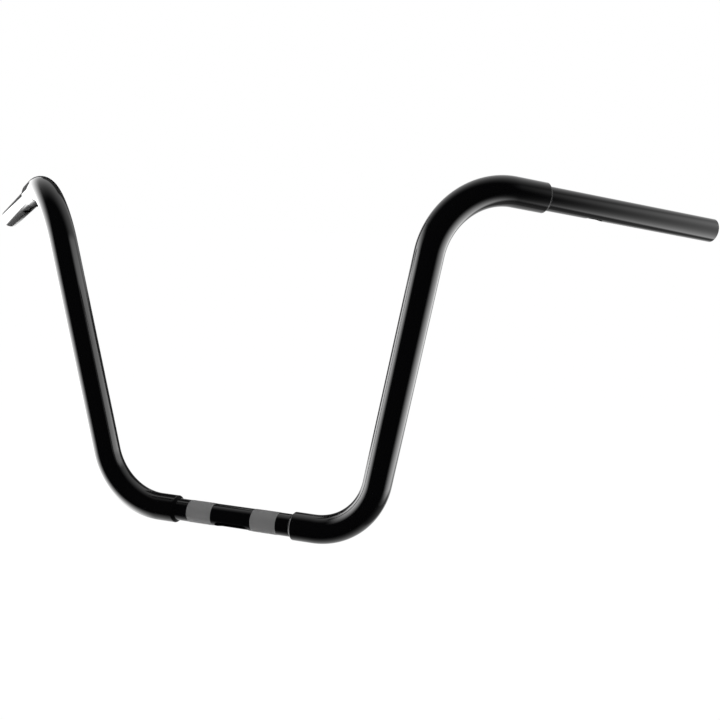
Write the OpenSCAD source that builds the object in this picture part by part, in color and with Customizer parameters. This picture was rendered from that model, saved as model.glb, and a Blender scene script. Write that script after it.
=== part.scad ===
// Tall motorcycle handlebar with fat side tubes.
// A thin centre tube is clamped to the fork and two thin grip tubes carry the controls.
// Each side is one fat tube, bent twice, that the thin tubes slip into and are welded to.
// The origin is the middle of the clamped tube, on its axis. +X runs along that tube
// towards the rider's left, +Y back towards the rider, and the side tubes rise along +Z.

/* [Tubes] */
// Outer diameter of the two fat side tubes
side_d = 31.75; // [30:0.25:36]
// Outer diameter of the centre tube and of the grip tubes
thin_d = 25.4; // [22:0.1:27]
// Wall of the centre tube and of the grip tubes
thin_wall = 3.05; // [1.6:0.05:4]
// How far the slipped-in ends of the thin tubes are turned down, all round
spigot_relief = 0.25; // [0.2:0.05:0.5]
// Gap all round between a turned-down end and the side tube that it slips into
slip_gap = 0.25; // [0.05:0.025:0.5]

/* [Centre tube] */
// Length of centre tube that shows between the two side tubes
centre_len = 147; // [120:1:220]
// Width of each knurled clamping band
band_len = 31.75; // [16:0.25:34]
// Distance between the two clamping bands
band_gap = 51; // [48:1:60]
// How far the knurling raises each band above the tube
band_rise = 0.2; // [0.2:0.05:0.4]
// Length of the wiring slot between the bands
slot_len = 44; // [20:1:46]
// Width of the wiring slot
slot_w = 14; // [8:0.5:16]
// Turn of the wiring slot, from straight down towards the front
slot_turn = 36; // [0:1:60]

/* [Side tubes] */
// Centreline radius of all four bends
bend_r = 76.2; // [50:0.1:110]
// Straight run of a side tube from its lower mouth to the first bend
stub_low = 26; // [15:1:60]
// Rise of the legs above the line of the centre tube, in degrees
leg_rise = 78; // [60:1:90]
// Straight length of each leg between its two bends
leg_len = 252; // [120:1:400]
// Pull of the grips back towards the rider, in degrees
pullback = 40; // [20:1:60]
// Fall of the grips towards their ends, in degrees
grip_fall = 9; // [0:1:20]
// Straight run of a side tube from the second bend to its upper mouth
stub_high = 38; // [15:1:60]

/* [Grip tubes] */
// Length of each grip tube that shows past its side tube
grip_len = 208; // [150:1:260]
// Distance from the side tube to the middle of the wiring hole
hole_from_mouth = 59; // [20:1:90]
// Length of the wiring hole
hole_len = 20; // [11:1:30]
// Width of the wiring hole
hole_w = 10; // [6:0.5:11]

/* [Joints and edges] */
// How far a slipped-in tube stops short of the bend
insert_back = 2; // [1:0.5:6]
// Length of the weld that closes the slip gap at each mouth
weld_len = 1.5; // [1:0.1:4]
// Width of the flat weld face left round the thin tube at each mouth
mouth_lip = 0.3; // [0.1:0.1:1]
// Radius of the corner between a lower mouth's bevel and the side tube
low_round = 1.4; // [0.2:0.1:3]
// Radius of the same corner at an upper mouth
high_round = 0.5; // [0.2:0.1:3]
// Bevel on the cut ends of the thin tubes
edge_bevel = 0.8; // [0.2:0.1:1.2]

/* [Hidden] */
$fn = 96;
gloss_black = [0.03, 0.03, 0.035];
side_r = side_d / 2;
thin_r = thin_d / 2;
inner_r = thin_r - thin_wall;
band_r = thin_r + band_rise;
spigot_r = thin_r - spigot_relief;
bore_r = spigot_r + slip_gap;
// The weld stands this far off the turned-down end, so that the two only meet
weld_touch = 0.01;
weld_r = spigot_r + weld_touch;
mouth_r = thin_r + mouth_lip;
// Bending stretches the wall, so each of its faces lies this far inside that of a straight run
bend_thinning = 0.02;
// The straight runs reach this far into the bends, so that the two are one solid
bend_tuck = 0.5;
bend_outer_r = side_r - bend_thinning;
bend_bore_r = bore_r + bend_thinning;
// The mouths are turned down to the thin tube at this slope
mouth_slope = 45;
mouth_bevel = (side_r - mouth_r) / tan(mouth_slope);
// Turn of the rounded corner in one step
round_step = 9;
mouth_x = centre_len / 2;
centre_half = mouth_x + stub_low - insert_back;
band_in = band_gap / 2;
band_out = band_in + band_len;
grip_insert = stub_high - insert_back;
// Directions of a leg and of a grip, each of length one
leg_dir = [cos(leg_rise), 0, sin(leg_rise)];
grip_dir = [cos(pullback) * cos(grip_fall), sin(pullback) * cos(grip_fall), -sin(grip_fall)];
// Sideways directions of a leg, square to it, in the plane of the legs and across it
leg_in = [-sin(leg_rise), 0, cos(leg_rise)];
leg_front = [0, -1, 0];
// The second bend turns the tube through this angle, towards this side of the leg
high_bend = acos(leg_dir * grip_dir);
high_roll = atan2(leg_front * grip_dir, leg_in * grip_dir);
// Straight down, measured round the grip's own axis after both bends
grip_up = (grip_dir - (leg_dir * grip_dir) * leg_dir) / sin(high_bend);
bend_side = cos(high_bend) * grip_up - sin(high_bend) * leg_dir;
bend_across = cross(grip_dir, bend_side);
hole_roll = atan2(-bend_across[2], -bend_side[2]);

// A grip tube along +Z, with its turned-down end below the origin
module grip_blank() {
    rotate_extrude()
        polygon([
            [inner_r, -grip_insert],
            [spigot_r - edge_bevel, -grip_insert],
            [spigot_r, edge_bevel - grip_insert],
            [spigot_r, 0],
            [thin_r, 0],
            [thin_r, grip_len - edge_bevel],
            [thin_r - edge_bevel, grip_len],
            [inner_r, grip_len]
        ]);
}

// A cut through one wall, along +X and out along +Z, with half-round ends
module round_slot(length, width) {
    linear_extrude(side_d)
        union() {
            square([length - width, width], center = true);
            for (side = [-1, 1])
                translate([side * (length - width) / 2, 0])
                    circle(d = width);
        }
}

// Points of the rounded corner from a mouth's bevel to the side tube's full width
function shoulder(radius) = [
    for (turn = [mouth_slope:-round_step:0])
        [side_r - radius * (1 - cos(turn)), mouth_bevel + radius * (tan(mouth_slope / 2) - sin(turn))]
];

// A side tube's straight run, with its bevelled and welded mouth at the origin
module side_stub(length, corner_round) {
    rotate_extrude()
        polygon(concat(
            [[weld_r, 0], [mouth_r, 0]],
            shoulder(corner_round),
            [
                [side_r, length + bend_tuck],
                [bore_r, length + bend_tuck],
                [bore_r, weld_len],
                [weld_r, weld_len]
            ]
        ));
}

// A side tube's plain straight length along +Z, tucked into a bend at both ends
module side_straight(length) {
    rotate_extrude()
        translate([bore_r, -bend_tuck])
            square([side_r - bore_r, length + 2 * bend_tuck]);
}

// A bend that starts along +Z at the origin and turns towards +X
module side_bend(angle) {
    translate([bend_r, 0, 0])
        rotate([90, 0, 180])
            rotate_extrude(angle = angle)
                translate([bend_r, 0])
                    difference() {
                        circle(r = bend_outer_r);
                        circle(r = bend_bore_r);
                    }
}

// Carries its children to the far end of a bend
module past_bend(angle) {
    translate([bend_r, 0, 0])
        rotate([0, angle, 0])
            translate([-bend_r, 0, 0])
                children();
}

// Carries its children from the lower mouth to the start of the second bend
module to_leg_top() {
    translate([mouth_x, 0, 0])
        rotate([0, 90, 0])
            rotate([0, 0, 180])
                translate([0, 0, stub_low])
                    past_bend(leg_rise)
                        translate([0, 0, leg_len])
                            children();
}

// Carries its children to the upper mouth, with +Z out along the grip
module to_upper_mouth() {
    to_leg_top()
        rotate([0, 0, high_roll])
            past_bend(high_bend)
                translate([0, 0, stub_high])
                    children();
}

// The clamped tube with its two bands and the wiring slot between them
module centre_clamp_tube() {
    color(gloss_black)
        difference() {
            rotate([0, 90, 0])
                rotate_extrude()
                    polygon([
                        [inner_r, -centre_half],
                        [spigot_r - edge_bevel, -centre_half],
                        [spigot_r, edge_bevel - centre_half],
                        [spigot_r, -mouth_x],
                        [thin_r, -mouth_x],
                        [thin_r, -band_out],
                        [band_r, -band_out],
                        [band_r, -band_in],
                        [thin_r, -band_in],
                        [thin_r, band_in],
                        [band_r, band_in],
                        [band_r, band_out],
                        [thin_r, band_out],
                        [thin_r, mouth_x],
                        [spigot_r, mouth_x],
                        [spigot_r, centre_half - edge_bevel],
                        [spigot_r - edge_bevel, centre_half],
                        [inner_r, centre_half]
                    ]);
            rotate([180 - slot_turn, 0, 0])
                round_slot(slot_len, slot_w);
        }
}

// The fat tube of one side, from its lower mouth through both bends to its upper mouth
module left_side_tube() {
    color(gloss_black)
        union() {
            translate([mouth_x, 0, 0])
                rotate([0, 90, 0])
                    rotate([0, 0, 180]) {
                        side_stub(stub_low, low_round);
                        translate([0, 0, stub_low]) {
                            side_bend(leg_rise);
                            past_bend(leg_rise)
                                side_straight(leg_len);
                        }
                    }
            to_leg_top()
                rotate([0, 0, high_roll])
                    side_bend(high_bend);
            to_upper_mouth()
                rotate([180, 0, 0])
                    side_stub(stub_high, high_round);
        }
}

module right_side_tube() {
    mirror([1, 0, 0])
        left_side_tube();
}

// The straight tube that carries the grip and controls, with a wiring hole underneath
module left_grip_tube() {
    color(gloss_black)
        to_upper_mouth()
            difference() {
                grip_blank();
                translate([0, 0, hole_from_mouth])
                    rotate([0, 0, hole_roll])
                        rotate([0, 90, 0])
                            round_slot(hole_len, hole_w);
            }
}

module right_grip_tube() {
    mirror([1, 0, 0])
        left_grip_tube();
}

centre_clamp_tube();
left_side_tube();
right_side_tube();
left_grip_tube();
right_grip_tube();
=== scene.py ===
"""A tall motorcycle handlebar: two fat side tubes, bent twice, welded to thin tubes.

The centre tube has two knurled clamping bands and a wiring slot, and each grip
tube has a wiring hole underneath. All five tubes wear a gloss black coat. The
knurled bands, the welded mouths and the bores have finishes of their own.
"""

import logging
import math
from dataclasses import dataclass
from enum import Enum
from typing import Callable

import bpy
from mathutils import Matrix, Vector


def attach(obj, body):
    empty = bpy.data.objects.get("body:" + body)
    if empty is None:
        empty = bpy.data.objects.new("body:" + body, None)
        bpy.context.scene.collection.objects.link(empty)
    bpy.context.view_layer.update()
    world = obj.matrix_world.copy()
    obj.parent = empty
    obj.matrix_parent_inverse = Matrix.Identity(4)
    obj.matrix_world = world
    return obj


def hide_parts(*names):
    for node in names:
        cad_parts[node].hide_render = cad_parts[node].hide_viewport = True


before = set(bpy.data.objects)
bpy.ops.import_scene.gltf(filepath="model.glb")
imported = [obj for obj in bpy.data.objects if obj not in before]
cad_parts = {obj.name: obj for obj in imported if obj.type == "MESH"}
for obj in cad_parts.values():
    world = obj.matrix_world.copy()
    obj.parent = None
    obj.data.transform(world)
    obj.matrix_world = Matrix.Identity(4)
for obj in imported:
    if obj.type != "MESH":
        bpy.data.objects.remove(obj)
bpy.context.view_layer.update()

MM = 0.001
log = logging.getLogger("handlebar")


class Axis(Enum):
    """An axis of the frame, named as the shader's sockets are."""

    X = (1, 0, 0)
    Y = (0, 1, 0)
    Z = (0, 0, 1)

    def direction(self) -> Vector:
        """The axis's direction, of length one."""
        return Vector(self.value)


class Side(Enum):
    """A side of the bar, as the rider names it. Its value is the sign of X there."""

    LEFT = 1
    RIGHT = -1

    @property
    def word(self) -> str:
        """The side's name as the pieces have it."""
        return self.name.lower()

    def facing(self, point: Vector) -> Vector:
        """A point or direction of the left side, as it is on this side."""
        return Vector((point.x * self.value, point.y, point.z))


@dataclass(frozen=True)
class BarPlan:
    """The bar's own sizes, in metres and degrees, on the left side."""

    side_r: float = 15.875 * MM
    thin_r: float = 12.7 * MM
    inner_r: float = 9.65 * MM
    spigot_r: float = 12.45 * MM
    bore_r: float = 12.7 * MM
    mouth_r: float = 13.0 * MM
    mouth_x: float = 73.5 * MM
    bend_r: float = 76.2 * MM
    stub_low: float = 26 * MM
    leg_rise: float = 78.0
    leg_len: float = 252 * MM
    pullback: float = 40.0
    grip_fall: float = 9.0
    stub_high: float = 38 * MM
    grip_len: float = 208 * MM
    insert_back: float = 2 * MM
    weld_len: float = 1.5 * MM
    weld_touch: float = 0.01 * MM

    def leg_dir(self) -> Vector:
        """The direction of the leg, from its first bend up."""
        rise = math.radians(self.leg_rise)
        return Vector((math.cos(rise), 0, math.sin(rise)))

    def grip_dir(self) -> Vector:
        """Finds how the grip points.

        Returns:
            Its direction out towards its open end, of length one.
        """
        pull, fall = math.radians(self.pullback), math.radians(self.grip_fall)
        level = math.cos(fall)
        return Vector((level * math.cos(pull), level * math.sin(pull), -math.sin(fall)))

    def grip_insert(self) -> float:
        """How far a grip tube reaches into its side tube."""
        return self.stub_high - self.insert_back

    def upper_mouth(self) -> Vector:
        """Follows the side tube up to its end.

        Returns:
            The middle of its upper mouth.
        """
        first, second = Axis.X.direction(), self.leg_dir()
        at = first * (self.mouth_x + self.stub_low)
        at += bend_step(first, second, self.bend_r)
        at += second * self.leg_len
        at += bend_step(second, self.grip_dir(), self.bend_r)
        return at + self.grip_dir() * self.stub_high


def bend_step(before: Vector, after: Vector, radius: float) -> Vector:
    """Finds how far a bend carries the tube.

    Args:
        before: Direction of the tube before the bend, of length one.
        after: Direction of the tube after the bend, of length one.
        radius: Radius of the bend's centreline.

    Returns:
        The step from the bend's start to its end.
    """
    angle = before.angle(after)
    return (before + after) * (radius * math.tan(angle / 2))


def rounded_corner(
    before: Vector, corner: Vector, after: Vector, radius: float, points: int
) -> list[Vector]:
    """Rounds one corner of a profile.

    Args:
        before: A point on the line that comes to the corner.
        corner: The sharp corner.
        after: A point on the line that leaves the corner.
        radius: Radius of the round.
        points: How many points the round has, two or more.

    Returns:
        The round's points in order.
    """
    back, on = (before - corner).normalized(), (after - corner).normalized()
    turn = math.pi - back.angle(on)
    reach = radius * math.tan(turn / 2)
    middle = corner + (back + on).normalized() * (radius / math.cos(turn / 2))
    start, end = corner + back * reach - middle, corner + on * reach - middle
    rounded = []
    for index in range(points):
        share = index / (points - 1)
        spoke = start * math.sin(turn * (1 - share)) + end * math.sin(turn * share)
        rounded.append(middle + spoke / math.sin(turn))
    return rounded


def near_point(middle: Vector, within: float) -> Callable[[Vector, Vector], bool]:
    """Makes the test for an edge that lies near a point.

    Args:
        middle: The point.
        within: Distance up to which the edge's ends are near it.

    Returns:
        A test of the edge's two ends.
    """
    return lambda a, b: (a - middle).length < within and (b - middle).length < within


def near_x(x: float, within: float) -> Callable[[Vector, Vector], bool]:
    """Makes the test for an edge that lies near one place along X.

    Args:
        x: The place.
        within: Distance up to which the edge's ends are near it.

    Returns:
        A test of the edge's two ends.
    """
    return lambda a, b: abs(a.x - x) < within and abs(b.x - x) < within


class Workbench:
    """The few edit steps that every tube is made with."""

    merge_within: float = 0.002 * MM

    @staticmethod
    def clear() -> None:
        """Leaves nothing selected and no mesh in edit mode."""
        if bpy.context.object and bpy.context.object.mode != "OBJECT":
            bpy.ops.object.mode_set(mode="OBJECT")
        bpy.ops.object.select_all(action="DESELECT")

    @staticmethod
    def pick(piece: bpy.types.Object) -> None:
        """Makes one piece the only selected and the active one.

        Args:
            piece: The piece.
        """
        Workbench.clear()
        piece.select_set(True)
        bpy.context.view_layer.objects.active = piece

    @staticmethod
    def pick_edges(
        piece: bpy.types.Object, wanted: Callable[[Vector, Vector], bool], rim_only: bool
    ) -> None:
        """Selects edges by their place, and leaves the piece in edit mode.

        Args:
            piece: The mesh to select in.
            wanted: Says from an edge's two ends whether it is wanted.
            rim_only: Whether only the edges of open rims count.
        """
        Workbench.pick(piece)
        bpy.ops.object.mode_set(mode="EDIT")
        bpy.ops.mesh.select_mode(type="EDGE")
        bpy.ops.mesh.select_all(action="DESELECT")
        if rim_only:
            bpy.ops.mesh.select_non_manifold(
                extend=False,
                use_wire=False,
                use_multi_face=False,
                use_non_contiguous=False,
                use_verts=False,
            )
        bpy.ops.object.mode_set(mode="OBJECT")
        mesh = piece.data
        for edge in mesh.edges:
            ends = [mesh.vertices[i].co for i in edge.vertices]
            edge.select = (edge.select or not rim_only) and wanted(*ends)
        chosen = {i for edge in mesh.edges if edge.select for i in edge.vertices}
        for vertex in mesh.vertices:
            vertex.select = vertex.index in chosen
        for face in mesh.polygons:
            face.select = False
        bpy.ops.object.mode_set(mode="EDIT")
        bpy.ops.mesh.select_mode(type="EDGE")

    @staticmethod
    def bridge(piece: bpy.types.Object, wanted: Callable[[Vector, Vector], bool]) -> None:
        """Closes the gap between two open rims.

        Args:
            piece: The mesh with the rims.
            wanted: Says from an edge's two ends whether it belongs to them.
        """
        Workbench.pick_edges(piece, wanted, rim_only=True)
        bpy.ops.mesh.bridge_edge_loops()
        bpy.ops.object.mode_set(mode="OBJECT")

    @staticmethod
    def join(name: str, sheets: list[bpy.types.Object]) -> bpy.types.Object:
        """Joins sheets into one mesh.

        Args:
            name: The joined piece's name.
            sheets: The sheets, the first of which takes in the others.

        Returns:
            The joined piece.
        """
        Workbench.pick(sheets[0])
        for sheet in sheets[1:]:
            sheet.select_set(True)
        bpy.ops.object.join()
        piece = bpy.context.object
        piece.name = piece.data.name = name
        return piece

    @staticmethod
    def cut(piece: bpy.types.Object, cutter: bpy.types.Object) -> None:
        """Cuts a closed shape out of a piece and removes the shape.

        Args:
            piece: The piece to cut.
            cutter: The closed shape.
        """
        Workbench.pick(piece)
        bpy.ops.object.modifier_add(type="BOOLEAN")
        boolean = piece.modifiers[-1]
        boolean.operation = "DIFFERENCE"
        boolean.solver = "EXACT"
        boolean.object = cutter
        bpy.ops.object.modifier_apply(modifier=boolean.name)
        bpy.data.objects.remove(cutter)

    @staticmethod
    def turn_out(piece: bpy.types.Object) -> None:
        """Merges doubles and turns every face of a closed piece outwards.

        Args:
            piece: The closed piece.
        """
        Workbench.pick(piece)
        bpy.ops.object.mode_set(mode="EDIT")
        bpy.ops.mesh.select_all(action="SELECT")
        bpy.ops.mesh.remove_doubles(threshold=Workbench.merge_within)
        bpy.ops.mesh.normals_make_consistent(inside=False)
        bpy.ops.object.mode_set(mode="OBJECT")

    @staticmethod
    def settle(piece: bpy.types.Object, smooth_below: float) -> None:
        """Puts a piece's place into its mesh and smooths its shading.

        Args:
            piece: The piece.
            smooth_below: Angle in degrees below which an edge shades smooth.
        """
        Workbench.pick(piece)
        bpy.ops.object.transform_apply(location=True, rotation=True, scale=True)
        bpy.ops.object.shade_smooth_by_angle(angle=math.radians(smooth_below))
        bpy.ops.object.modifier_add(type="WEIGHTED_NORMAL")
        weigh = piece.modifiers[-1]
        weigh.keep_sharp = True
        bpy.ops.object.modifier_apply(modifier=weigh.name)


class TubeWall:
    """One wall of a tube, drawn ring by ring from one end to the other."""

    def __init__(self, name: str, at: Vector, along: Vector, radius: float, facets: int) -> None:
        """Draws the first ring.

        Args:
            name: The wall's name.
            at: Middle of the first ring.
            along: Direction in which the tube runs on.
            radius: Radius of the first ring.
            facets: How many sides the ring has.
        """
        Workbench.clear()
        self.at = at.copy()
        self.along = along.normalized()
        self.radius = radius
        turned = self.along.to_track_quat("Z", "Y").to_euler()
        bpy.ops.mesh.primitive_circle_add(vertices=facets, radius=radius, location=at, rotation=turned)
        self.sheet = bpy.context.object
        self.sheet.name = name
        bpy.ops.object.transform_apply(location=True, rotation=True, scale=True)
        bpy.ops.object.mode_set(mode="EDIT")
        bpy.ops.mesh.select_mode(type="EDGE")
        bpy.ops.mesh.select_all(action="SELECT")

    def ring(self, ahead: float, radius: float) -> None:
        """Draws the wall on to one more ring.

        Args:
            ahead: Distance to the new ring, below 0 to step back.
            radius: Radius of the new ring.
        """
        step = self.along * ahead
        bpy.ops.mesh.extrude_region_move(TRANSFORM_OT_translate={"value": step})
        self.at += step
        if radius != self.radius:
            share = radius / self.radius
            bpy.ops.transform.resize(value=(share, share, share), center_override=self.at)
            self.radius = radius

    def bend(self, after: Vector, radius: float, steps: int) -> None:
        """Spins the wall on through a bend.

        Args:
            after: Direction of the tube after the bend.
            radius: Radius of the bend's centreline.
            steps: How many lengths the bend is made of.
        """
        after = after.normalized()
        axle = self.along.cross(after).normalized()
        hub = self.at + axle.cross(self.along) * radius
        angle = self.along.angle(after)
        bpy.ops.mesh.spin(steps=steps, angle=-angle, center=hub, axis=axle)
        self.at += bend_step(self.along, after, radius)
        self.along = after

    def done(self) -> bpy.types.Object:
        """Leaves edit mode and hands over the wall."""
        bpy.ops.object.mode_set(mode="OBJECT")
        return self.sheet


@dataclass(frozen=True)
class WiringHole:
    """A hole with half-round ends through one wall of a tube, for the control wires.

    Its middle is the point on the tube's axis under it, and out points from there
    through it. It is a circle whose halves are moved apart, and a point within
    centreline of its middle stays. An edge counts as its rim up to rim_reach of
    its length away, and where its faces meet at more than sharp_above degrees.
    """

    middle: Vector
    along: Vector
    out: Vector
    length: float
    width: float
    facets: int = 64
    depth: float = 20 * MM
    centreline: float = 0.001 * MM
    rim_reach: float = 0.55
    sharp_above: float = 45.0
    round_steps: int = 3

    def cutter(self) -> bpy.types.Object:
        """Makes the closed shape to cut the hole with.

        Returns:
            The shape, in its place.
        """
        Workbench.clear()
        bpy.ops.mesh.primitive_circle_add(vertices=self.facets, radius=self.width / 2, fill_type="NGON")
        cutter = bpy.context.object
        bpy.ops.object.mode_set(mode="EDIT")
        bpy.ops.mesh.select_all(action="SELECT")
        bpy.ops.mesh.extrude_region_move(TRANSFORM_OT_translate={"value": (0, 0, self.depth)})
        bpy.ops.mesh.select_all(action="SELECT")
        bpy.ops.mesh.normals_make_consistent(inside=False)
        bpy.ops.object.mode_set(mode="OBJECT")
        stretch = (self.length - self.width) / 2
        for vertex in cutter.data.vertices:
            if abs(vertex.co.x) > self.centreline:
                vertex.co.x += math.copysign(stretch, vertex.co.x)
        across = self.out.cross(self.along)
        turned = Matrix((self.along, across, self.out)).transposed().to_4x4()
        cutter.data.transform(Matrix.Translation(self.middle) @ turned)
        return cutter

    def sharp_places(self, tube: bpy.types.Object) -> set[tuple]:
        """Finds a tube's sharp edges.

        Args:
            tube: The tube.

        Returns:
            The two ends of each sharp edge, in a fixed order.
        """
        mesh = tube.data
        normals: dict[tuple[int, int], list[Vector]] = {}
        for face in mesh.polygons:
            for key in face.edge_keys:
                normals.setdefault(key, []).append(face.normal)
        limit = math.radians(self.sharp_above)
        inner = {key: pair for key, pair in normals.items() if len(pair) == 2}
        sharp = [key for key, (one, other) in inner.items() if one.angle(other, 0) > limit]
        return {tuple(sorted(tuple(mesh.vertices[i].co) for i in key)) for key in sharp}

    def on_rim(self, end: Vector, outer_r: float) -> bool:
        """Tells whether a point may lie on the hole's outer rim.

        Args:
            end: The point.
            outer_r: Distance from the axis past which it is on the outside.

        Returns:
            True where it is on the outside and within reach of the hole.
        """
        reach = (end - self.middle).dot(self.along)
        off = (end - self.middle - self.along * reach).length
        return abs(reach) <= self.length * self.rim_reach and off >= outer_r

    def soften_rim(self, tube: bpy.types.Object, outer_r: float, rim_round: float) -> None:
        """Rounds the hole's outer edge.

        Args:
            tube: The tube, with the hole cut.
            outer_r: Distance from the axis past which an edge is an outer one.
            rim_round: Width of the round.
        """
        places = self.sharp_places(tube)

        def wanted(a: Vector, b: Vector) -> bool:
            """Whether an edge belongs to the hole's outer rim."""
            near = self.on_rim(a, outer_r) and self.on_rim(b, outer_r)
            return near and tuple(sorted((tuple(a), tuple(b)))) in places

        Workbench.pick_edges(tube, wanted, rim_only=False)
        bpy.ops.mesh.bevel(
            offset=rim_round, segments=self.round_steps, affect="EDGES", clamp_overlap=True
        )
        bpy.ops.object.mode_set(mode="OBJECT")


class Node(Enum):
    """The kinds of shader node, in plain words."""

    PLACE = "ShaderNodeTexCoord"
    SPLIT = "ShaderNodeSeparateXYZ"
    NOISE = "ShaderNodeTexNoise"
    RANGE = "ShaderNodeMapRange"
    BUMP = "ShaderNodeBump"
    RAYS = "ShaderNodeLightPath"
    SUM = "ShaderNodeMath"
    VECTOR_SUM = "ShaderNodeVectorMath"
    GLOW = "ShaderNodeEmission"
    CLEAR = "ShaderNodeBsdfTransparent"
    MIX = "ShaderNodeMixShader"
    OUT = "ShaderNodeOutputMaterial"


class Sum(Enum):
    """The arithmetic that the recipes use."""

    PRODUCT = "MULTIPLY"
    LARGER = "MAXIMUM"
    ANGLE = "ARCCOSINE"


# What a node's input takes: another node's output, or a plain number, direction or colour
SocketValue = bpy.types.NodeSocket | Vector | float | tuple[float, ...]


class Recipe:
    """The nodes of one material or world, with the steps that its makers share."""

    def __init__(self, owner: bpy.types.Material | bpy.types.World, bare: bool = False) -> None:
        """Opens the nodes.

        Args:
            owner: The material or world.
            bare: Whether the nodes that it starts with are taken out.
        """
        owner.use_nodes = True
        self.nodes = owner.node_tree.nodes
        self.links = owner.node_tree.links
        if bare:
            self.nodes.clear()

    def add(self, kind: Node) -> bpy.types.Node:
        """Adds a node."""
        return self.nodes.new(kind.value)

    def feed(self, value: SocketValue, into: bpy.types.NodeSocket) -> None:
        """Gives an input its value.

        Args:
            value: Another node's output, or a plain number, direction or colour.
            into: The input.
        """
        if isinstance(value, bpy.types.NodeSocket):
            self.links.new(value, into)
        else:
            into.default_value = value

    def place(self) -> bpy.types.NodeSocket:
        """Adds the place on the piece, in metres."""
        return self.add(Node.PLACE).outputs["Object"]

    def noise(self, scale: float, detail: float) -> bpy.types.NodeSocket:
        """Adds a soft noise over the piece.

        Args:
            scale: How many waves it has in a metre.
            detail: How many finer layers it has.

        Returns:
            The noise, from 0 to 1.
        """
        cloud = self.add(Node.NOISE)
        self.feed(self.place(), cloud.inputs["Vector"])
        self.feed(scale, cloud.inputs["Scale"])
        self.feed(detail, cloud.inputs["Detail"])
        return cloud.outputs["Fac"]

    def spread(self, share: bpy.types.NodeSocket, low: float, high: float) -> bpy.types.NodeSocket:
        """Adds a straight run from one value to another.

        Args:
            share: A value from 0 to 1.
            low: The result where it is 0.
            high: The result where it is 1.

        Returns:
            The result.
        """
        run = self.add(Node.RANGE)
        self.feed(share, run.inputs["Value"])
        self.feed(low, run.inputs["To Min"])
        self.feed(high, run.inputs["To Max"])
        return run.outputs["Result"]

    def fade(self, value: bpy.types.NodeSocket, gone: float, full: float) -> bpy.types.NodeSocket:
        """Adds a soft edge.

        Args:
            value: What the edge depends on.
            gone: The value where the result is 0.
            full: The value where the result is 1.

        Returns:
            The result.
        """
        edge = self.add(Node.RANGE)
        edge.interpolation_type = "SMOOTHSTEP"
        self.feed(value, edge.inputs["Value"])
        self.feed(gone, edge.inputs["From Min"])
        self.feed(full, edge.inputs["From Max"])
        return edge.outputs["Result"]

    def sum(self, kind: Sum, *values: SocketValue) -> bpy.types.NodeSocket:
        """Adds one step of arithmetic.

        Args:
            kind: The step.
            values: What it works on.

        Returns:
            The result.
        """
        step = self.add(Node.SUM)
        step.operation = kind.value
        for value, into in zip(values, step.inputs):
            self.feed(value, into)
        return step.outputs["Value"]

    def glow(self, strength: float) -> bpy.types.NodeSocket:
        """Adds a white glow.

        Args:
            strength: How strong it is, where 1 shows as white.

        Returns:
            The glow.
        """
        light = self.add(Node.GLOW)
        self.feed(strength, light.inputs["Strength"])
        return light.outputs["Emission"]

    def clear(self) -> bpy.types.NodeSocket:
        """Adds a surface that lets everything through."""
        return self.add(Node.CLEAR).outputs["BSDF"]

    def mix_out(
        self, share: bpy.types.NodeSocket, none: bpy.types.NodeSocket, full: bpy.types.NodeSocket
    ) -> None:
        """Ends a material in a mix of two surfaces.

        Args:
            share: How much of the second surface there is, from 0 to 1.
            none: The first surface, all of it where the share is 0.
            full: The second surface, all of it where the share is 1.
        """
        mix = self.add(Node.MIX)
        out = self.nodes.get("Material Output") or self.add(Node.OUT)
        self.feed(share, mix.inputs["Fac"])
        self.feed(none, mix.inputs[1])
        self.feed(full, mix.inputs[2])
        self.feed(mix.outputs["Shader"], out.inputs["Surface"])

    def shown_rays(self) -> bpy.types.NodeSocket:
        """Tells the rays that show a backdrop from those that only light the bar.

        Returns:
            A socket that is 1 for camera, glossy and transmission rays.
        """
        path = self.add(Node.RAYS)
        total = path.outputs["Is Camera Ray"]
        for kind in ("Is Glossy Ray", "Is Transmission Ray"):
            total = self.sum(Sum.LARGER, total, path.outputs[kind])
        return total


@dataclass(frozen=True)
class Coat:
    """A finish, painted or bare, with a fine unevenness of its own.

    Its roughness drifts between two values over patches, and a shallow peel lies on it.
    """

    name: str
    colour: tuple[float, float, float]
    roughness: tuple[float, float]
    peel_size: float
    peel_depth: float
    ior: float = 1.45
    patch_scale: float = 22.0
    patch_detail: float = 3.0
    peel_detail: float = 1.0

    def make(self) -> bpy.types.Material:
        """Builds the finish.

        Returns:
            The material, on Object coordinates.
        """
        material = bpy.data.materials.new(self.name)
        recipe = Recipe(material)
        shader = recipe.nodes["Principled BSDF"]
        recipe.feed((*self.colour, 1), shader.inputs["Base Color"])
        recipe.feed(self.ior, shader.inputs["IOR"])
        patches = recipe.noise(self.patch_scale, self.patch_detail)
        recipe.feed(recipe.spread(patches, *self.roughness), shader.inputs["Roughness"])
        bump = recipe.add(Node.BUMP)
        recipe.feed(1, bump.inputs["Strength"])
        recipe.feed(self.peel_depth, bump.inputs["Distance"])
        recipe.feed(recipe.noise(1 / self.peel_size, self.peel_detail), bump.inputs["Height"])
        recipe.feed(bump.outputs["Normal"], shader.inputs["Normal"])
        return material


class Finish(Enum):
    """The finishes of the bar, made once each."""

    GLOSS = Coat("gloss_black_coat", (0.0015, 0.0015, 0.0017), (0.05, 0.09), 1.6 * MM, 0.0015 * MM)
    KNURL = Coat("knurled_coat", (0.113, 0.113, 0.113), (0.38, 0.46), 0.4 * MM, 0.004 * MM)
    BORE = Coat("bare_bore", (0.05, 0.048, 0.045), (0.45, 0.6), 0.8 * MM, 0.006 * MM)
    WELD = Coat("weld_coat", (0.0015, 0.0015, 0.0017), (0.25, 0.35), 1.2 * MM, 0.01 * MM, 1.12)

    def material(self) -> bpy.types.Material:
        """The finish's material, made the first time that it is asked for."""
        return bpy.data.materials.get(self.value.name) or self.value.make()


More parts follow.
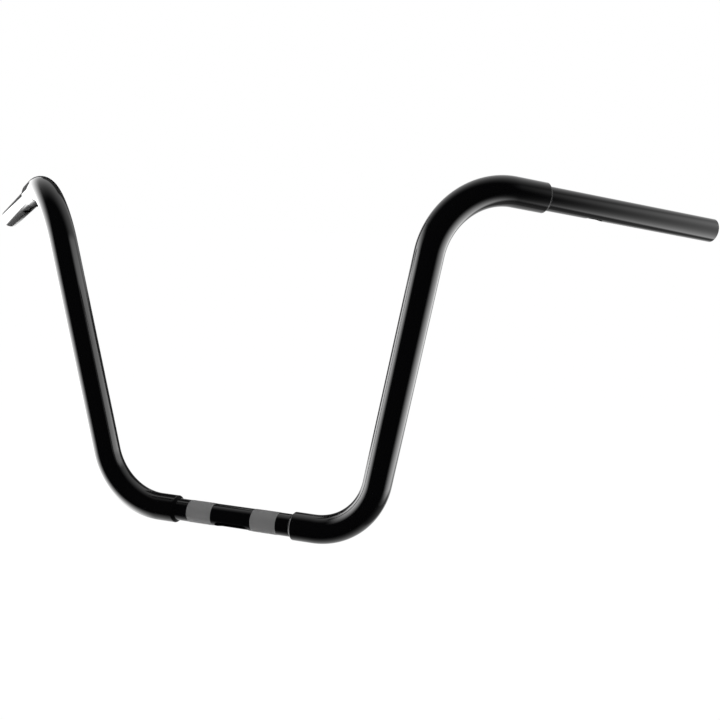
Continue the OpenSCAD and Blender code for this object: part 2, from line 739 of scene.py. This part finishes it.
@dataclass
class Mouth:
    """A side tube's bevelled mouth, with the weld round the thin tube in it."""

    plan: BarPlan
    corner: float
    weld_round: float = 0.4 * MM
    weld_points: int = 6
    shoulder_points: int = 7
    stand_off: float = 0.005 * MM
    line_on: float = 5 * MM

    def profile(self) -> list[Vector]:
        """Draws the mouth from its hidden inner edge to the side tube's full width.

        Returns:
            Points as (radius, distance into the side tube).
        """
        plan = self.plan
        skin = plan.thin_r + self.stand_off
        bevel_end = Vector((plan.side_r, plan.side_r - plan.mouth_r))
        foot = Vector((skin, skin - plan.mouth_r))
        along_thin = foot - Vector((0, self.line_on))
        along_side = bevel_end + Vector((0, self.line_on))
        weld = rounded_corner(along_thin, foot, bevel_end, self.weld_round, self.weld_points)
        shoulder = rounded_corner(foot, bevel_end, along_side, self.corner, self.shoulder_points)
        hidden = [Vector((plan.spigot_r + plan.weld_touch, 0)), Vector((skin, 0))]
        return hidden + weld + shoulder


@dataclass
class TubeMaker:
    """Shared steps of the three kinds of tube.

    An edge up to outer_within below the surface is an outer one, and a face up
    to bore_within off the bore belongs to it.
    """

    plan: BarPlan
    facets: int = 96
    smooth_below: float = 30.0
    outer_within: float = 1 * MM
    bore_within: float = 0.05 * MM
    finishes: tuple[Finish, ...] = (Finish.GLOSS, Finish.BORE)

    def walk(self, wall: TubeWall, profile: list[Vector], start: float) -> float:
        """Draws a wall through the rings of a profile.

        Args:
            wall: The wall to draw on.
            profile: Points as (radius, distance along).
            start: Distance along at which the wall now is.

        Returns:
            The distance along at the last ring.
        """
        for point in profile:
            wall.ring(point.y - start, point.x)
            start = point.y
        return start

    def pierce(self, piece: bpy.types.Object, hole: WiringHole, rim_round: float) -> None:
        """Cuts a wiring hole, rounds its rim and gives the bore its finish.

        Args:
            piece: The tube.
            hole: The hole.
            rim_round: Width of the round.
        """
        Workbench.cut(piece, hole.cutter())
        hole.soften_rim(piece, self.plan.thin_r - self.outer_within, rim_round)
        within = self.plan.inner_r + self.bore_within

        def in_bore(face: bpy.types.MeshPolygon) -> bool:
            """Whether a face lies at the bore and looks at the axis."""
            out = face.center - hole.middle
            out -= hole.along * out.dot(hole.along)
            return out.length < within and face.normal.dot(out) < 0

        self.paint(piece, Finish.BORE, in_bore)

    def paint(
        self, piece: bpy.types.Object, finish: Finish, wanted: Callable[[bpy.types.MeshPolygon], bool]
    ) -> None:
        """Gives some faces one of the tube's finishes.

        Args:
            piece: The tube.
            finish: The finish.
            wanted: Says whether a face takes it.
        """
        index = self.finishes.index(finish)
        for face in piece.data.polygons:
            if wanted(face):
                face.material_index = index

    def dress(self, piece: bpy.types.Object, node: str) -> None:
        """Gives a tube its materials and seats it in the frame.

        Args:
            piece: The finished mesh.
            node: The CAD node that it stands for.
        """
        for finish in self.finishes:
            piece.data.materials.append(finish.material())
        Workbench.settle(piece, self.smooth_below)
        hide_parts(node)
        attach(piece, "root")


@dataclass
class SideTube(TubeMaker):
    """A fat side tube with both its bends and both its welded mouths.

    The rims that meet at a mouth lie within rim_within of its middle, and the
    finish of the weld covers the mouth out to weld_within from there.
    """

    low_corner: float = 1.4 * MM
    high_corner: float = 0.5 * MM
    rim_within: float = 14 * MM
    weld_within: float = 15.2 * MM
    first_steps: int = 36
    second_steps: int = 40
    finishes: tuple[Finish, ...] = (Finish.GLOSS, Finish.WELD)

    def both_bends(self, wall: TubeWall, side: Side, radius: float) -> None:
        """Draws a wall on through both bends and the leg between them.

        Args:
            wall: The wall, which has reached the first bend.
            side: The side that the tube is on.
            radius: Radius of the wall.
        """
        plan = self.plan
        wall.bend(side.facing(plan.leg_dir()), plan.bend_r, self.first_steps)
        wall.ring(plan.leg_len, radius)
        wall.bend(side.facing(plan.grip_dir()), plan.bend_r, self.second_steps)

    def outer_wall(self, side: Side) -> bpy.types.Object:
        """Draws the wall that shows, from mouth to mouth.

        Args:
            side: The side that the tube is on.

        Returns:
            The open wall.
        """
        plan = self.plan
        low = Mouth(plan, self.low_corner).profile()
        high = Mouth(plan, self.high_corner).profile()
        inward = side.facing(Axis.X.direction())
        wall = TubeWall("wall", inward * plan.mouth_x, inward, low[0].x, self.facets)
        reached = self.walk(wall, low[1:], 0)
        wall.ring(plan.stub_low - reached, plan.side_r)
        self.both_bends(wall, side, plan.side_r)
        mirrored = [Vector((p.x, plan.stub_high - p.y)) for p in reversed(high)]
        self.walk(wall, mirrored, 0)
        return wall.done()

    def inner_wall(self, side: Side) -> bpy.types.Object:
        """Draws the bore that the thin tubes slip into.

        Args:
            side: The side that the tube is on.

        Returns:
            The open wall.
        """
        plan = self.plan
        weld_r = plan.spigot_r + plan.weld_touch
        inward = side.facing(Axis.X.direction())
        start = inward * (plan.mouth_x + plan.weld_len)
        wall = TubeWall("bore", start, inward, weld_r, self.facets)
        wall.ring(0, plan.bore_r)
        wall.ring(plan.stub_low - plan.weld_len, plan.bore_r)
        self.both_bends(wall, side, plan.bore_r)
        wall.ring(plan.stub_high - plan.weld_len, plan.bore_r)
        wall.ring(0, weld_r)
        return wall.done()

    def build(self, side: Side) -> bpy.types.Object:
        """Makes one side tube.

        Args:
            side: The side that it is on.

        Returns:
            The finished piece.
        """
        name = f"{side.word}_side_tube"
        tube = Workbench.join(f"{name}_shell", [self.outer_wall(side), self.inner_wall(side)])
        low = side.facing(Axis.X.direction() * self.plan.mouth_x)
        mouths = (low, side.facing(self.plan.upper_mouth()))
        for mouth in mouths:
            Workbench.bridge(tube, near_point(mouth, self.rim_within))
        Workbench.turn_out(tube)
        for mouth in mouths:
            self.paint(tube, Finish.WELD, lambda face, m=mouth: (face.center - m).length < self.weld_within)
        self.dress(tube, name)
        return tube


@dataclass
class GripTube(TubeMaker):
    """A thin grip tube with its turned-down end and its wiring hole."""

    hole_from_mouth: float = 59 * MM
    hole_len: float = 20 * MM
    hole_w: float = 10 * MM
    end_bevel: float = 0.8 * MM
    end_corner: float = 0.35 * MM
    rim_round: float = 0.35 * MM
    bevel_points: int = 5
    face_points: int = 4

    def profile(self) -> list[Vector]:
        """Draws the tube's section, from its hidden end out and back through the bore.

        Returns:
            Points as (radius, distance out from the mouth).
        """
        plan = self.plan
        inner = Vector((plan.inner_r, plan.grip_len))
        far = Vector((plan.thin_r, 0))
        bevel_side = Vector((plan.thin_r, plan.grip_len - self.end_bevel))
        bevel_face = Vector((plan.thin_r - self.end_bevel, plan.grip_len))
        lip = Vector((plan.inner_r + self.end_corner, plan.grip_len))
        lip_in = Vector((plan.inner_r, plan.grip_len - self.end_corner))
        insert = plan.grip_insert()
        return [
            Vector((plan.spigot_r - self.end_bevel, -insert)),
            Vector((plan.spigot_r, self.end_bevel - insert)),
            Vector((plan.spigot_r, 0)),
            Vector((plan.thin_r, 0)),
            Vector((plan.thin_r, self.hole_from_mouth)),
            *rounded_corner(far, bevel_side, bevel_face, self.end_corner, self.bevel_points),
            *rounded_corner(bevel_side, bevel_face, inner, self.end_corner / 2, self.face_points),
            *rounded_corner(lip, inner, lip_in, self.end_corner, self.face_points),
            Vector((plan.inner_r, -insert)),
        ]

    def hole(self, side: Side) -> WiringHole:
        """Places the wiring hole, which faces down.

        Args:
            side: The side that the tube is on.

        Returns:
            The hole.
        """
        down = -Axis.Z.direction()
        along = side.facing(self.plan.grip_dir())
        middle = side.facing(self.plan.upper_mouth()) + along * self.hole_from_mouth
        out = (down - along * along.dot(down)).normalized()
        return WiringHole(middle, along, out, self.hole_len, self.hole_w)

    def build(self, side: Side) -> bpy.types.Object:
        """Makes one grip tube.

        Args:
            side: The side that it is on.

        Returns:
            The finished piece.
        """
        plan = self.plan
        name = f"{side.word}_grip_tube"
        along = side.facing(plan.grip_dir())
        start = side.facing(plan.upper_mouth()) - along * plan.grip_insert()
        wall = TubeWall(f"{name}_shell", start, along, plan.inner_r, self.facets)
        self.walk(wall, self.profile(), -plan.grip_insert())
        tube = wall.done()
        Workbench.turn_out(tube)
        self.pierce(tube, self.hole(side), self.rim_round)
        self.dress(tube, name)
        return tube


@dataclass
class CentreTube(TubeMaker):
    """The clamped tube with its knurled bands and the wiring slot.

    Each band starts and ends in a short cone, band_lead long, and its end rings
    are the ones within band_rim of its two ends.
    """

    facets: int = 132
    smooth_below: float = 20.0
    finishes: tuple[Finish, ...] = (Finish.GLOSS, Finish.BORE, Finish.KNURL)
    band_in: float = 25.5 * MM
    band_out: float = 57.25 * MM
    band_lead: float = 0.3 * MM
    band_rim: float = 0.1 * MM
    knurl_round: int = 66
    knurl_rows: int = 26
    knurl_valley: float = 12.62 * MM
    knurl_rise: float = 0.27 * MM
    slot_len: float = 44 * MM
    slot_w: float = 14 * MM
    slot_turn: float = 36.0
    end_bevel: float = 0.8 * MM
    rim_round: float = 0.4 * MM

    def plain(self, start: float, rings: list[Vector]) -> bpy.types.Object:
        """Draws one smooth stretch of wall along X.

        Args:
            start: X at the first ring.
            rings: Points as (radius, X), the first at the start.

        Returns:
            The open wall.
        """
        along = Axis.X.direction()
        wall = TubeWall("stretch", along * start, along, rings[0].x, self.facets)
        self.walk(wall, rings[1:], start)
        return wall.done()

    def knurled(self, middle: float) -> bpy.types.Object:
        """Draws one band of raised diamonds.

        Args:
            middle: X at the middle of the band.

        Returns:
            The open wall of the band.
        """
        width = self.band_out - self.band_in - 2 * self.band_lead
        along = Axis.X.direction()
        start = middle - width / 2
        wall = TubeWall("band", along * start, along, self.knurl_valley, self.knurl_round)
        for _ in range(self.knurl_rows):
            wall.ring(width / self.knurl_rows, self.knurl_valley)
        band = wall.done()
        self.face_out(band)
        self.raise_diamonds(band, start + self.band_rim, start + width - self.band_rim)
        return band

    def face_out(self, band: bpy.types.Object) -> None:
        """Turns the faces of an open band outwards.

        Args:
            band: The band, round X.
        """
        Workbench.pick(band)
        bpy.ops.object.mode_set(mode="EDIT")
        bpy.ops.mesh.select_all(action="SELECT")
        bpy.ops.mesh.normals_make_consistent(inside=False)
        bpy.ops.object.mode_set(mode="OBJECT")
        face = band.data.polygons[0]
        faces_in = face.normal.dot(Vector((0, face.center.y, face.center.z))) < 0
        bpy.ops.object.mode_set(mode="EDIT")
        if faces_in:
            bpy.ops.mesh.flip_normals()
        bpy.ops.object.mode_set(mode="OBJECT")

    def raise_diamonds(self, band: bpy.types.Object, low: float, high: float) -> None:
        """Turns a band's squares into diamonds and raises the middle of each.

        Args:
            band: The band, round X.
            low: X past which an edge isn't part of the first end ring.
            high: X up to which it isn't part of the last one.
        """
        Workbench.pick(band)
        bpy.ops.object.mode_set(mode="EDIT")
        bpy.ops.mesh.select_all(action="SELECT")
        bpy.ops.mesh.mark_sharp()
        bpy.ops.mesh.poke(offset=0)
        bpy.ops.object.mode_set(mode="OBJECT")
        mesh = band.data
        for edge in mesh.edges:
            places = [mesh.vertices[i].co.x for i in edge.vertices]
            edge.select = edge.use_edge_sharp and max(places) > low and min(places) < high
        for part in (*mesh.vertices, *mesh.polygons):
            part.select = False
        bpy.ops.object.mode_set(mode="EDIT")
        bpy.ops.mesh.select_mode(type="EDGE")
        bpy.ops.mesh.dissolve_edges(use_verts=False)
        bpy.ops.mesh.select_all(action="SELECT")
        bpy.ops.mesh.mark_sharp(clear=True)
        bpy.ops.mesh.poke(offset=self.knurl_rise)
        bpy.ops.object.mode_set(mode="OBJECT")

    def shell(self) -> bpy.types.Object:
        """Draws the whole tube before its slot is cut.

        Returns:
            The closed tube.
        """
        plan = self.plan
        half = plan.mouth_x + plan.stub_low - plan.insert_back
        left_end = [
            Vector((plan.inner_r, -half)),
            Vector((plan.spigot_r - self.end_bevel, -half)),
            Vector((plan.spigot_r, self.end_bevel - half)),
            Vector((plan.spigot_r, -plan.mouth_x)),
            Vector((plan.thin_r, -plan.mouth_x)),
            Vector((plan.thin_r, -self.band_out)),
        ]
        right_end = [Vector((p.x, -p.y)) for p in reversed(left_end)]
        centre = [Vector((plan.thin_r, -self.band_in)), Vector((plan.thin_r, self.band_in))]
        bore = [Vector((plan.inner_r, -half)), Vector((plan.inner_r, half))]
        stretches = [self.plain(rings[0].y, rings) for rings in (left_end, centre, right_end, bore)]
        middle = (self.band_in + self.band_out) / 2
        bands = [self.knurled(-middle), self.knurled(middle)]
        tube = Workbench.join("centre_clamp_tube_shell", stretches + bands)
        for x in (-self.band_out, -self.band_in, self.band_in, self.band_out):
            Workbench.bridge(tube, near_x(x, 2 * self.band_lead))
        Workbench.turn_out(tube)
        return tube

    def on_band(self, face: bpy.types.MeshPolygon) -> bool:
        """Tells whether a face belongs to a knurled band.

        Args:
            face: A face of the tube.

        Returns:
            True on the outside of a band and of the short cones that lead up to it.
        """
        off_axis = math.hypot(face.center.y, face.center.z)
        in_reach = self.band_in - self.band_lead < abs(face.center.x) < self.band_out + self.band_lead
        return in_reach and off_axis > self.plan.spigot_r

    def build(self) -> bpy.types.Object:
        """Makes the centre tube.

        Returns:
            The finished piece.
        """
        tube = self.shell()
        turn = math.radians(self.slot_turn)
        out = Vector((0, -math.sin(turn), -math.cos(turn)))
        slot = WiringHole(Vector(), Axis.X.direction(), out, self.slot_len, self.slot_w)
        self.pierce(tube, slot, self.rim_round)
        self.paint(tube, Finish.KNURL, self.on_band)
        self.dress(tube, "centre_clamp_tube")
        return tube


def only_mirrored(screen: bpy.types.Object) -> None:
    """Stages a screen that shows only as a reflection, so that it hides nothing from any side.

    Args:
        screen: The screen.
    """
    screen.visible_camera = False
    screen.visible_diffuse = False
    screen.visible_shadow = False
    screen.visible_transmission = False
    screen.visible_volume_scatter = False


@dataclass(frozen=True)
class Span:
    """How far a cloth reaches along one axis, in metres, with a soft edge at either end."""

    start: float
    full_from: float
    full_to: float
    end: float

    def edges(self) -> list[tuple[float, float]]:
        """The two soft edges, each as (where nothing is left, where all of the cloth is there)."""
        return [(self.start, self.full_from), (self.end, self.full_to)]


@dataclass(frozen=True)
class Cloth:
    """A flat cloth of the studio, glowing or dark, that shows only as a reflection in the bar."""

    name: str
    across: Axis
    at: float
    spans: dict[Axis, Span]
    glow: float = 0.0
    cover: float = 1.0

    def build(self) -> None:
        """Hangs the cloth square to one axis."""
        Workbench.clear()
        first, second = (axis.direction() for axis in self.spans)
        out = self.across.direction()
        reach = [span.end - span.start for span in self.spans.values()]
        middle = [(span.end + span.start) / 2 for span in self.spans.values()]
        bpy.ops.mesh.primitive_plane_add(size=1)
        cloth = bpy.context.object
        cloth.name = self.name
        cloth.matrix_world = (
            Matrix.Translation(first * middle[0] + second * middle[1] + out * self.at)
            @ Matrix((first, second, out)).transposed().to_4x4()
            @ Matrix.Diagonal((*reach, 1, 1))
        )
        bpy.ops.object.transform_apply(location=True, rotation=True, scale=True)
        cloth.data.materials.append(self.fabric())
        only_mirrored(cloth)

    def fabric(self) -> bpy.types.Material:
        """Builds the fabric, which fades out towards its edges.

        Returns:
            The material, on coordinates in metres.
        """
        material = bpy.data.materials.new(f"{self.name}_fabric")
        recipe = Recipe(material, bare=True)
        material.cycles.emission_sampling = "NONE"
        split = recipe.add(Node.SPLIT)
        recipe.feed(recipe.place(), split.inputs["Vector"])
        share = self.cover
        for axis, span in self.spans.items():
            for gone, full in span.edges():
                edge = recipe.fade(split.outputs[axis.name], gone, full)
                share = recipe.sum(Sum.PRODUCT, share, edge)
        recipe.mix_out(share, recipe.clear(), recipe.glow(self.glow))
        return material


# The glowing cloths are the light bands in the gloss, and the dark ones give them their ends
CLOTHS = [
    Cloth(
        "left_panel", Axis.X, at=-1.05, glow=6.5,
        spans={Axis.Y: Span(-1.12, -0.11, 0.05, 1.05), Axis.Z: Span(-1.8, -0.1, 0.2, 1.1)},
    ),
    Cloth(
        "right_panel", Axis.X, at=0.85, glow=5.2,
        spans={Axis.Y: Span(-0.255, 0.5, 1.34, 2.1), Axis.Z: Span(-0.68, -0.38, -0.12, 0.4)},
    ),
    Cloth(
        "right_wall", Axis.X, at=0.87, glow=2.9,
        spans={Axis.Y: Span(-0.2, 0.35, 1.2, 2.1), Axis.Z: Span(-0.5, -0.4, 0.52, 0.92)},
    ),
    Cloth(
        "right_gap", Axis.Z, at=-0.69, cover=0.65,
        spans={Axis.X: Span(0.35, 0.45, 0.8, 0.84), Axis.Y: Span(-0.5, -0.2, 0.9, 1.4)},
    ),
    Cloth(
        "bend_screen", Axis.X, at=-1.04, cover=0.95,
        spans={Axis.Y: Span(0.44, 0.48, 0.6, 0.66), Axis.Z: Span(0.36, 0.38, 0.5, 0.56)},
    ),
    Cloth(
        "mouth_screen", Axis.Z, at=0.11, cover=0.85,
        spans={Axis.X: Span(-0.85, -0.82, -0.7, -0.66), Axis.Y: Span(0.41, 0.43, 0.44, 0.47)},
    ),
    Cloth(
        "leg_screen", Axis.Y, at=0.3, cover=0.9,
        spans={Axis.X: Span(-0.56, -0.52, -0.26, -0.22), Axis.Z: Span(-0.02, 0.03, 0.62, 0.7)},
    ),
    Cloth(
        "stub_screen", Axis.Y, at=0.3, cover=0.9,
        spans={Axis.X: Span(-0.26, -0.22, -0.06, 0.0), Axis.Z: Span(-0.02, 0.03, 0.24, 0.3)},
    ),
    Cloth(
        "grip_screen", Axis.Y, at=0.6, cover=0.9,
        spans={Axis.X: Span(-1.04, -1.02, -0.5, -0.42), Axis.Z: Span(0.335, 0.345, 0.62, 0.7)},
    ),
    Cloth(
        "low_screen", Axis.Z, at=0.1, cover=0.92,
        spans={Axis.X: Span(-1.045, -0.98, -0.74, -0.68), Axis.Y: Span(0.45, 0.48, 1.05, 1.1)},
    ),
]


@dataclass(frozen=True)
class DarkScreen:
    """The unlit half of the studio behind the camera, which keeps the coat's middle black."""

    azimuth: float = 10.0
    elevation: float = 6.0
    reach: float = 2.4
    full_within: float = 64.0
    gone_past: float = 114.0
    segments: int = 96
    rings: int = 48

    def aim(self) -> Vector:
        """Finds where the middle of the dark half lies.

        Returns:
            Its direction from the bar, of length one.
        """
        turn, tilt = math.radians(self.azimuth), math.radians(self.elevation)
        level = math.cos(tilt)
        return Vector((level * math.sin(turn), -level * math.cos(turn), math.sin(tilt)))

    def build(self, middle: Vector) -> None:
        """Hangs the screen round the bar.

        Args:
            middle: The point that the screen is hung round.
        """
        Workbench.clear()
        bpy.ops.mesh.primitive_uv_sphere_add(
            segments=self.segments, ring_count=self.rings, radius=self.reach, location=middle
        )
        screen = bpy.context.object
        screen.name = "dark_screen"
        bpy.ops.object.shade_smooth()
        screen.data.materials.append(self.fabric())
        only_mirrored(screen)

    def fabric(self) -> bpy.types.Material:
        """Builds the dark cloth, which thins out away from its middle.

        Returns:
            The material, on coordinates from the screen's own middle.
        """
        material = bpy.data.materials.new("dark_cloth")
        recipe = Recipe(material, bare=True)
        toward = recipe.add(Node.VECTOR_SUM)
        toward.operation = "DOT_PRODUCT"
        recipe.feed(recipe.place(), toward.inputs[0])
        recipe.feed(self.aim() / self.reach, toward.inputs[1])
        angle = recipe.sum(Sum.ANGLE, toward.outputs["Value"])
        thin = recipe.fade(angle, math.radians(self.full_within), math.radians(self.gone_past))
        recipe.mix_out(thin, recipe.glow(0), recipe.clear())
        return material


@dataclass(frozen=True)
class Lamp:
    """A soft lamp that lights the bar's colours without showing in its gloss."""

    name: str
    place: tuple[float, float, float]
    power: float
    size: float

    def build(self, aim: Vector) -> None:
        """Hangs the lamp.

        Args:
            aim: The point that it shines at.
        """
        data = bpy.data.lights.new(self.name, "AREA")
        data.energy = self.power
        data.size = self.size
        lamp = bpy.data.objects.new(self.name, data)
        bpy.context.scene.collection.objects.link(lamp)
        lamp.location = self.place
        lamp.rotation_euler = (Vector(self.place) - aim).to_track_quat("Z", "Y").to_euler()
        lamp.visible_glossy = False


LAMPS = [
    Lamp("front_lamp", place=(0.3, -1.6, 1.5), power=14, size=1.2),
    Lamp("left_lamp", place=(-1.5, -0.6, 1.4), power=8, size=1.0),
]


@dataclass
class Studio:
    """The camera, the pale floor and the lights.

    The offset is how far the camera stands from the origin across, up and back,
    along its own axes. The fill is how strongly the world lights the bar.
    """

    azimuth: float = 21.88
    elevation: float = 9.12
    roll: float = 0.6
    focal_px: float = 960.8
    frame_px: float = 720.0
    sensor: float = 36.0
    clip: tuple[float, float] = (0.01, 100.0)
    offset: tuple[float, float, float] = (143.42 * MM, 180.08 * MM, 1100.81 * MM)
    middle: tuple[float, float, float] = (0, 100 * MM, 190 * MM)
    floor_z: float = -300 * MM
    floor_size: float = 40.0
    floor_colour: tuple[float, float, float] = (0.9, 0.9, 0.9)
    floor_roughness: float = 0.9
    floor_gloss: float = 0.1
    floor_glow: float = 1.015
    floor_white: float = 0.96
    fill: float = 0.75

    def camera(self) -> None:
        """Sets the camera at the photograph's place."""
        turn, tilt, roll = (math.radians(v) for v in (self.azimuth, self.elevation, self.roll))
        level = Vector((math.cos(turn), math.sin(turn), 0))
        flat = math.cos(tilt)
        ahead = Vector((-math.sin(turn) * flat, math.cos(turn) * flat, -math.sin(tilt)))
        upright = level.cross(ahead)
        right = level * math.cos(roll) + upright * math.sin(roll)
        up = upright * math.cos(roll) - level * math.sin(roll)
        across, high, back = self.offset
        place = right * across + up * high - ahead * back
        data = bpy.data.cameras.new("camera")
        data.sensor_width = self.sensor
        data.lens = self.focal_px / self.frame_px * self.sensor
        data.clip_start, data.clip_end = self.clip
        camera = bpy.data.objects.new("camera", data)
        bpy.context.scene.collection.objects.link(camera)
        turned = Matrix((right, up, -ahead)).transposed().to_4x4()
        camera.matrix_world = Matrix.Translation(place) @ turned
        bpy.context.scene.camera = camera

    def world(self) -> None:
        """Makes the world white where it shows, and a soft fill where it only lights."""
        world = bpy.data.worlds.new("studio")
        bpy.context.scene.world = world
        recipe = Recipe(world)
        ground = recipe.nodes["Background"]
        recipe.feed((1, 1, 1, 1), ground.inputs["Color"])
        recipe.feed(recipe.spread(recipe.shown_rays(), self.fill, 1), ground.inputs["Strength"])

    def floor(self) -> None:
        """Lays the pale floor, which shows as white and keeps the bar's shadow."""
        Workbench.clear()
        bpy.ops.mesh.primitive_plane_add(size=self.floor_size, location=(0, 0, self.floor_z))
        floor = bpy.context.object
        floor.name = "floor"
        floor.data.materials.append(self.floor_paint())
        floor.visible_glossy = False

    def floor_paint(self) -> bpy.types.Material:
        """Builds the floor's paint.

        Returns:
            The material, white to the rays that show it and plain paint to the rest.
        """
        material = bpy.data.materials.new("pale_floor")
        recipe = Recipe(material)
        shader = recipe.nodes["Principled BSDF"]
        recipe.feed((*self.floor_colour, 1), shader.inputs["Base Color"])
        recipe.feed(self.floor_roughness, shader.inputs["Roughness"])
        recipe.feed(self.floor_gloss, shader.inputs["Specular IOR Level"])
        share = recipe.spread(recipe.shown_rays(), 0, self.floor_white)
        recipe.mix_out(share, shader.outputs["BSDF"], recipe.glow(self.floor_glow))
        return material

    def build(self) -> None:
        """Sets up the whole studio."""
        middle = Vector(self.middle)
        self.camera()
        self.world()
        self.floor()
        DarkScreen().build(middle)
        for cloth in CLOTHS:
            cloth.build()
        for lamp in LAMPS:
            lamp.build(middle)


def main() -> None:
    """Builds the tubes, then the studio round them."""
    logging.basicConfig(level=logging.INFO, format="%(name)s: %(message)s")
    plan = BarPlan()
    tubes = [CentreTube(plan).build()]
    for side in Side:
        tubes += [SideTube(plan).build(side), GripTube(plan).build(side)]
    for tube in tubes:
        log.info("%s: %d faces", tube.name, len(tube.data.polygons))
    log.info("%d pieces stand for %d CAD nodes", len(tubes), len(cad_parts))
    Studio().build()
    bpy.context.scene.view_settings.view_transform = "Standard"


if __name__ == "__main__":
    main()
